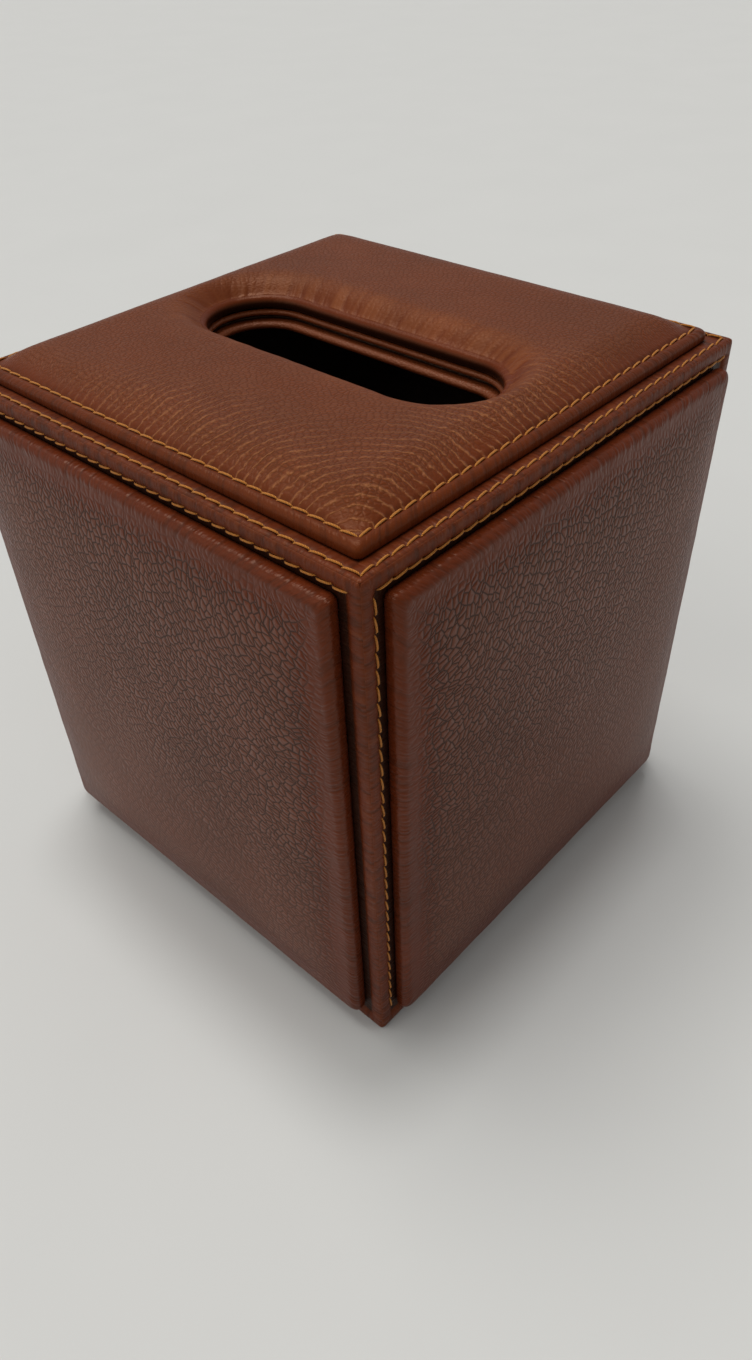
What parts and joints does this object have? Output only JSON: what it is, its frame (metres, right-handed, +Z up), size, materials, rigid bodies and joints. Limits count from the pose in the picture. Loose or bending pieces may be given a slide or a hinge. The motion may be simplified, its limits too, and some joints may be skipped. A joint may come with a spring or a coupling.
{
  "type": "napkin box",
  "caption": "Cube-shaped leather-covered napkin box with padded faces, stitched edges, a stepped slot in its top and a hinged flap in its base.",
  "frame": {"origin": "centre of the base on the table", "axes": "+Z up, +X along the slot, -Y to the face on the left of the picture, +X to the face on its right"},
  "size_m": [0.1624, 0.1624, 0.1696],
  "materials": {
    "pad_leather": "pebbled, soft sheen",
    "cover_leather": "pebbled, soft sheen",
    "trim_leather": "smooth, waxed",
    "thread": "twisted polyester",
    "board": "raw fibreboard",
    "foam": "open-cell foam",
    "lining": "brushed microfibre",
    "steel": "plated"
  },
  "bodies": {
    "box": {"board_front": "board", "board_back": "board", "board_left": "board", "board_right": "board", "board_top": "board", "cover_front": "cover_leather", "cover_back": "cover_leather", "cover_left": "cover_leather", "cover_right": "cover_leather", "cover_top": "cover_leather", "pad_front_board": "board", "pad_front_foam": "foam", "pad_front_leather": "pad_leather", "pad_back_board": "board", "pad_back_foam": "foam", "pad_back_leather": "pad_leather", "pad_left_board": "board", "pad_left_foam": "foam", "pad_left_leather": "pad_leather", "pad_right_board": "board", "pad_right_foam": "foam", "pad_right_leather": "pad_leather", "pad_top_board": "board", "pad_top_foam": "foam", "pad_top_leather": "pad_leather", "slot_lining": "trim_leather", "lining_walls": "lining", "lining_top": "lining", "closing_batten": "cover_leather", "catch_plates": "steel", "hinge_strip": "cover_leather"},
    "flap": {"flap_board": "board", "flap_cover": "cover_leather", "flap_lining": "lining", "flap_magnets": "steel", "pull_tab": "trim_leather", "tab_stitching": "thread"}
  },
  "joints": [
    {"name": "flap_hinge", "type": "hinge", "parent": "box", "child": "flap", "pos_m": [0, 0.06955, 0.0013], "axis": [1, 0, 0], "range_deg": [0, 95]}
  ]
}
